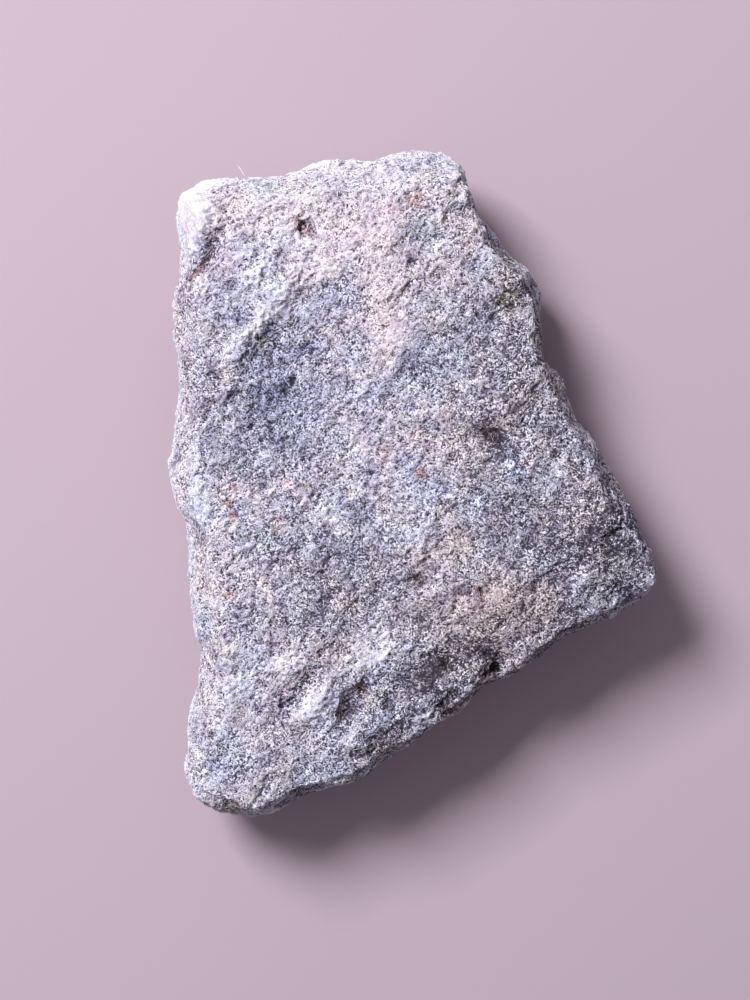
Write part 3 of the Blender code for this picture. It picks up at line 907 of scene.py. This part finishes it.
def larimar_rock():
    material, tree, shader = new_material("larimar_rock", 0.85)
    place = add_node(tree, "ShaderNodeTexCoord").outputs["Object"]
    mm = add_node(tree, "ShaderNodeVectorMath", {0: place, 3: 1 / MM}, operation="SCALE").outputs[0]
    turn = (0.0, 0.0, math.radians(BEDDING_TURN))
    bedded = add_node(
        tree, "ShaderNodeMapping",
        {"Vector": mm, "Rotation": turn, "Scale": (BEDDING_STRETCH, 1.0, 1.0)},
        vector_type="TEXTURE",
    ).outputs[0]
    clumps = add_node(
        tree, "ShaderNodeTexNoise",
        {"Vector": bedded, "Scale": 1 / CLUMP, "Detail": 3.0, "Roughness": 0.65, "Distortion": 0.5},
    ).outputs["Fac"]
    tint = add_node(tree, "ShaderNodeAttribute", attribute_name="tint").outputs["Color"]
    paleness = add_node(tree, "ShaderNodeAttribute", attribute_name="paleness").outputs["Fac"]
    fine = fine_patterns(tree, mm, paleness)
    patches = add_node(
        tree, "ShaderNodeTexNoise", {"Vector": bedded, "Scale": 1 / PATCH, "Detail": 2.0, "Roughness": 0.6}
    ).outputs["Fac"]
    contrast = add_node(
        tree, "ShaderNodeMapRange",
        {"Value": patches, "From Min": 0.38, "From Max": 0.62, "To Min": 0.5, "To Max": 1.5},
    ).outputs[0]
    calmer = add_node(
        tree, "ShaderNodeMapRange",
        {"Value": paleness, "From Min": -0.15, "From Max": 0.3, "To Min": 1.55, "To Max": 0.45},
    ).outputs[0]
    for share in (contrast, calmer):
        fine = add_node(tree, "ShaderNodeMath", {0: fine, 1: share}, operation="MULTIPLY").outputs[0]
    value = sums(tree, FINE_MEAN - MIDDLE_GREY, (fine, 1.0), (clumps, 0.8), (paleness, 1.0))
    share = add_node(
        tree, "ShaderNodeMapRange", {"Value": value, "From Min": DARK_END, "From Max": LIGHT_END}
    ).outputs[0]
    ramp = add_node(tree, "ShaderNodeValToRGB", {0: share})
    greys = ramp.color_ramp.elements
    greys.remove(greys[1])
    greys[0].color = linear(GREYS[0][1])
    for position, colour in GREYS[1:]:
        greys.new(position).color = linear(colour)
    coloured = add_node(
        tree, "ShaderNodeMix", {0: 1.0, 6: ramp.outputs[0], 7: tint}, data_type="RGBA", blend_type="MULTIPLY"
    ).outputs[2]
    bump = add_node(tree, "ShaderNodeBump", {"Height": value, "Strength": 0.8, "Distance": BUMP_HEIGHT * MM})
    tree.links.new(coloured, shader.inputs["Base Color"])
    tree.links.new(bump.outputs["Normal"], shader.inputs["Normal"])
    shader.inputs["IOR"].default_value = PECTOLITE_IOR
    print("nodes of the rock:", len(tree.nodes))
    return material


stone.data.materials.clear()
stone.data.materials.append(larimar_rock())
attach(stone, BODY)
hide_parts(NODE)

# %% [markdown]
# ## The felt
# Pectolite grows as sprays of silky white needles, and on this broken face they lie matted like felt.
# They are real geometry, because they catch the light one by one and cast their own small shadows, which
# no bump map does. A real needle is a few hundredths of a millimetre thick; here it is drawn about 0.1 mm
# thick, or nobody would see it in the picture. Each fibre is a thin three-sided spindle that is bent over
# the surface. Fibres start in tufts that share a direction, and there are more of them on pale places
# and on crests than in dark hollows.

# %% Where the fibres lie
FELT_PIECES = 3
TUFTS = 2_000
TUFT_FIBRES = 8
TUFT_SPREAD = 0.35
FAN = 0.6
FIBRE_LENGTH = (0.25, 0.75)
FIBRE_RADIUS = (0.04, 0.065)
RINGS = (
    # share of the length, share of the radius
    (0.0, 0.0),
    (0.3, 1.0),
    (0.7, 0.8),
    (1.0, 0.0),
)

# How thickly the felt lies: a middle density, what paleness, crests and clumps add to it, and its limits
MIDDLE_DENSITY = 0.55
DENSITY_BY_PALENESS = 0.9
DENSITY_BY_CREST = 0.2
DENSITY_LIMITS = (0.04, 1.4)
FELT_CLUMP = 1.6
FELT_CLUMP_SEED = 41

# How much felt is missing on the white crust and, as painted shade, on the sides that look away from the
# light, and how much the underside keeps
CRUST_BARE = 0.9
CRUST_RIM = (0.7, 1.1)
SHADED_SIDE_BARE = 0.5
SHADED_SIDE_TURN = (0.3, 0.9)
UNDERSIDE_KEEPS = 0.3
UNDERSIDE_TURN = (-0.3, 0.3)

corners = table(stone.data.loops, "vertex_index", 1, np.int32).reshape(-1, 3)
face_area = table(stone.data.polygons, "area", 1)[:, 0] / MM ** 2
face_normal = table(stone.data.polygons, "normal")
face_centre = table(stone.data.polygons, "center") / MM
face_paleness = paleness[corners].mean(1)
face_crest = crest[corners].mean(1)
bare = 1.0 - eased(oval(points, drift, *CRUST), *CRUST_RIM)[corners].mean(1)
kept = UNDERSIDE_KEEPS + (1.0 - UNDERSIDE_KEEPS) * eased(face_normal[:, 2], *UNDERSIDE_TURN)
density = MIDDLE_DENSITY + DENSITY_BY_PALENESS * face_paleness + DENSITY_BY_CREST * face_crest
density = np.clip(density + swells(face_centre, FELT_CLUMP, FELT_CLUMP_SEED), *DENSITY_LIMITS)
# Painted shade: fewer pale fibres on the sides that look away from the light
shaded_side = eased(face_normal @ AWAY_FROM_LIGHT, *SHADED_SIDE_TURN)
density *= kept * (1.0 - CRUST_BARE * bare) * (1.0 - SHADED_SIDE_BARE * shaded_side)
print("share of faces under thick felt:", round(float((density > MIDDLE_DENSITY).mean()), 2))

# %% Put points on the stone's surface
skin_tree = BVHTree.FromObject(stone, fresh_graph())


def lengthwise(vectors):
    return vectors / np.linalg.norm(vectors, axis=1)[:, None]


def on_skin(places, lift):
    """Each place moved to the nearest point of the stone's surface, lifted off it, and above the floor."""
    found = np.empty_like(places)
    for i, place in enumerate(places):
        spot, normal, _, _ = skin_tree.find_nearest(Vector(place * MM))
        found[i] = np.array(spot) / MM + np.array(normal) * lift[i]
    found[:, 2] = np.maximum(found[:, 2], FIBRE_RADIUS[1])
    return found


# %% Bend the fibres over the stone
FIBRE_BEND = 0.8
LOOSE_SHARE = 0.08

# Heights over the surface in mm: of the root, of the middle, and of the tip where it is tucked in or loose
ROOT_LIFT = -0.05
MIDDLE_LIFT = (0.01, 0.07)
TUCKED_LIFT = -0.03
LOOSE_LIFT = (0.1, 0.3)


def felt_fibres(seed):
    """Four points of each fibre, its way out of the stone, its radius and the face it starts from."""
    random = np.random.default_rng(seed)
    count = TUFTS * TUFT_FIBRES
    weight = face_area * density
    root = random.choice(len(weight), TUFTS, p=weight / weight.sum()).repeat(TUFT_FIBRES)
    out = face_normal[root]
    tuft_along = lengthwise(np.cross(out, random.normal(size=(TUFTS, 3)).repeat(TUFT_FIBRES, axis=0)))
    tuft_across = np.cross(out, tuft_along)
    fan = random.normal(0.0, FAN, count)[:, None]
    along = tuft_along * np.cos(fan) + tuft_across * np.sin(fan)
    across = np.cross(out, along)
    spread = random.normal(0.0, TUFT_SPREAD, (count, 2))
    start = face_centre[root] + tuft_along * spread[:, :1] + tuft_across * spread[:, 1:]
    length = random.uniform(*FIBRE_LENGTH, count)
    radius = random.uniform(*FIBRE_RADIUS, count)
    bend = random.normal(0.0, FIBRE_BEND, count)
    loose = random.random(count) < LOOSE_SHARE
    lifts = (
        np.full(count, ROOT_LIFT),
        random.uniform(*MIDDLE_LIFT, count),
        random.uniform(*MIDDLE_LIFT, count),
        np.where(loose, random.uniform(*LOOSE_LIFT, count), TUCKED_LIFT),
    )
    spine = []
    for (share, _), lift in zip(RINGS, lifts):
        reach = along * (share * length)[:, None] + across * (bend * length * share ** 2)[:, None]
        spine.append(on_skin(start + reach, lift))
    return spine, out, radius, root


# %% [markdown]
# ## One spindle a fibre
# A curve with a round bevel would make a fibre with less code, but each would have a hundred faces. A
# spindle with three sides has twelve triangles, the fewest that still have a lit and a dark side, so tens
# of thousands fit in a piece. Each also gets its own cell in a texture map, so that its colour can be
# baked when the stone is exported.

# %% Spindles
SPINDLE_POINTS = 8

# Across a side's third of a texture cell, and along the spindle from one tip to the other
CELL_ACROSS = (0.1, 0.5, 0.9)
CELL_ALONG = (0.05, 0.3, 0.7, 0.95)


def spindles(spine, out, radius):
    """A mesh of three-sided spindles, each through four points, with a cell of the texture for each."""
    heading = lengthwise(spine[3] - spine[0])
    side = lengthwise(np.cross(heading, out))
    up = np.cross(side, heading)
    rows = [spine[0]]
    for (_, width), middle in zip(RINGS[1:3], spine[1:3]):
        for turn in (90, 210, 330):
            rim = up * math.sin(math.radians(turn)) + side * math.cos(math.radians(turn))
            rows.append(middle + rim * (radius * width)[:, None])
    rows.append(spine[3])
    near_tip, near_ring, far_ring, far_tip = CELL_ALONG
    triangles = []
    cell = []
    for corner, following in ((0, 1), (1, 2), (2, 0)):
        left, middle, right = ((corner + share) / 3 for share in CELL_ACROSS)
        triangles.append((0, 1 + following, 1 + corner))
        cell += [(middle, near_tip), (right, near_ring), (left, near_ring)]
        triangles.append((1 + corner, 1 + following, 4 + corner))
        cell += [(left, near_ring), (right, near_ring), (left, far_ring)]
        triangles.append((1 + following, 4 + following, 4 + corner))
        cell += [(right, near_ring), (right, far_ring), (left, far_ring)]
        triangles.append((4 + corner, 4 + following, SPINDLE_POINTS - 1))
        cell += [(left, far_ring), (right, far_ring), (middle, far_tip)]
    number = np.arange(len(radius))
    places = np.stack(rows, 1).reshape(-1, 3) * MM
    faces = (np.array(triangles) + SPINDLE_POINTS * number[:, None, None]).reshape(-1, 3)
    mesh = bpy.data.meshes.new("spindles")
    mesh.from_pydata(places.tolist(), [], faces.tolist())
    columns = math.ceil(math.sqrt(len(number)))
    cells = np.column_stack([number % columns, number // columns])[:, None]
    mesh.uv_layers.new(name="OFBake").uv.foreach_set("vector", ((cells + cell) / columns).ravel())
    return mesh


# %% [markdown]
# ## Silky white
# Pectolite needles are white with a silky shine: a smoother surface than the rock, roughness 0.55. They
# take a little of the tint of the place they lie on, because they are thin and let its light through,
# and no two are quite as white.

# %% Felt material and pieces
FELT_WHITE = "#f4f2fa"
FELT_TINT = 0.8
FELT_TONES = (0.65, 1.0)
MIDDLE_TONE = 0.94
TONE_BY_PALENESS = 0.6
DARKEST_TONE = 0.45
FIBRE_SEED = 100
TONE_SEED = 200


def pectolite_felt():
    material, tree, shader = new_material("pectolite_felt", 0.55)
    tint = add_node(tree, "ShaderNodeAttribute", attribute_name="tint").outputs["Color"]
    tree.links.new(tint, shader.inputs["Base Color"])
    shader.inputs["IOR"].default_value = PECTOLITE_IOR
    return material


def add_fibres(name, mesh, colour, material):
    """Adds a mesh of spindles as a piece of the stone, with one colour a spindle."""
    store(mesh, "tint", "FLOAT_COLOR", colour.repeat(SPINDLE_POINTS, axis=0))
    mesh.materials.append(material)
    mesh.shade_smooth()
    fibres = add_object(name, mesh)
    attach(fibres, BODY)
    print(name, "triangles:", len(mesh.polygons))


def add_felt(number, material):
    spine, out, radius, root = felt_fibres(FIBRE_SEED + number)
    random = np.random.default_rng(TONE_SEED + number)
    # The fibres follow the paleness under them, so they take its painted shade too
    tone = np.clip(MIDDLE_TONE + TONE_BY_PALENESS * face_paleness[root], DARKEST_TONE, 1.0)
    tone *= random.uniform(*FELT_TONES, len(root))
    tinted = 1.0 - FELT_TINT + FELT_TINT * tint[corners[root, 0]]
    colour = tinted * linear(FELT_WHITE)[:3] * tone[:, None]
    add_fibres(f"larimar_felt_{number}", spindles(spine, out, radius), colour, material)


silk = pectolite_felt()
for number in range(1, FELT_PIECES + 1):
    add_felt(number, silk)

# %% [markdown]
# ## One stray fibre
# A single loose fibre, three millimetres long, stands off the top edge near the left corner. It is made
# of the same spindle as the felt, through four given points in the air.

# %% The stray fibre
STRAY_PATH = ((-21.9, 40.2, 14.5), (-22.5, 41.2, 15.2), (-23.0, 42.0, 15.4), (-23.5, 42.6, 15.4))
STRAY_RADIUS = 0.06
stray_spine = np.array(STRAY_PATH)[:, None]
stray = spindles(stray_spine, np.array([[0.0, 0.0, 1.0]]), np.array([STRAY_RADIUS]))
add_fibres("larimar_stray_fibre", stray, np.array([linear(FELT_WHITE)[:3]]), silk)

# %% [markdown]
# ## Floor and light
# A plain pale floor and one soft light from the upper left, as from a window, with an even pale sky that
# fills the shadows. The light is 30 cm across and 80 cm away: near enough for soft shadows with a clear
# side, which is what shows that the stone is rough.

# %% Floor
FLOOR_HALF = 1.5
FLOOR_COLOUR = "#a08f9b"


def add_floor():
    rim = [(x * FLOOR_HALF, y * FLOOR_HALF, 0.0) for x, y in ((-1, -1), (1, -1), (1, 1), (-1, 1))]
    mesh = bpy.data.meshes.new("floor")
    mesh.from_pydata(rim, [], [(0, 1, 2, 3)])
    material, _, shader = new_material("pale_paper", 0.9)
    shader.inputs["Base Color"].default_value = linear(FLOOR_COLOUR)
    mesh.materials.append(material)
    add_object("floor", mesh)


add_floor()

# %% Light
def add_light(name, place, size, power, colour):
    data = bpy.data.lights.new(name, "AREA")
    data.size = size * MM
    data.energy = power
    data.color = linear(colour)[:3]
    light = add_object(name, data)
    light.location = Vector(place) * MM
    light.rotation_euler = (-Vector(place)).to_track_quat("-Z", "Y").to_euler()


add_light("window", place=(-380.0, 380.0, 600.0), size=300.0, power=11.5, colour="#ffffff")
world = bpy.data.worlds.new("studio")
world.use_nodes = True
background = world.node_tree.nodes["Background"]
background.inputs["Color"].default_value = linear("#f4f0f6")
background.inputs["Strength"].default_value = 0.38
bpy.context.scene.world = world
bpy.context.scene.view_settings.view_transform = "Standard"
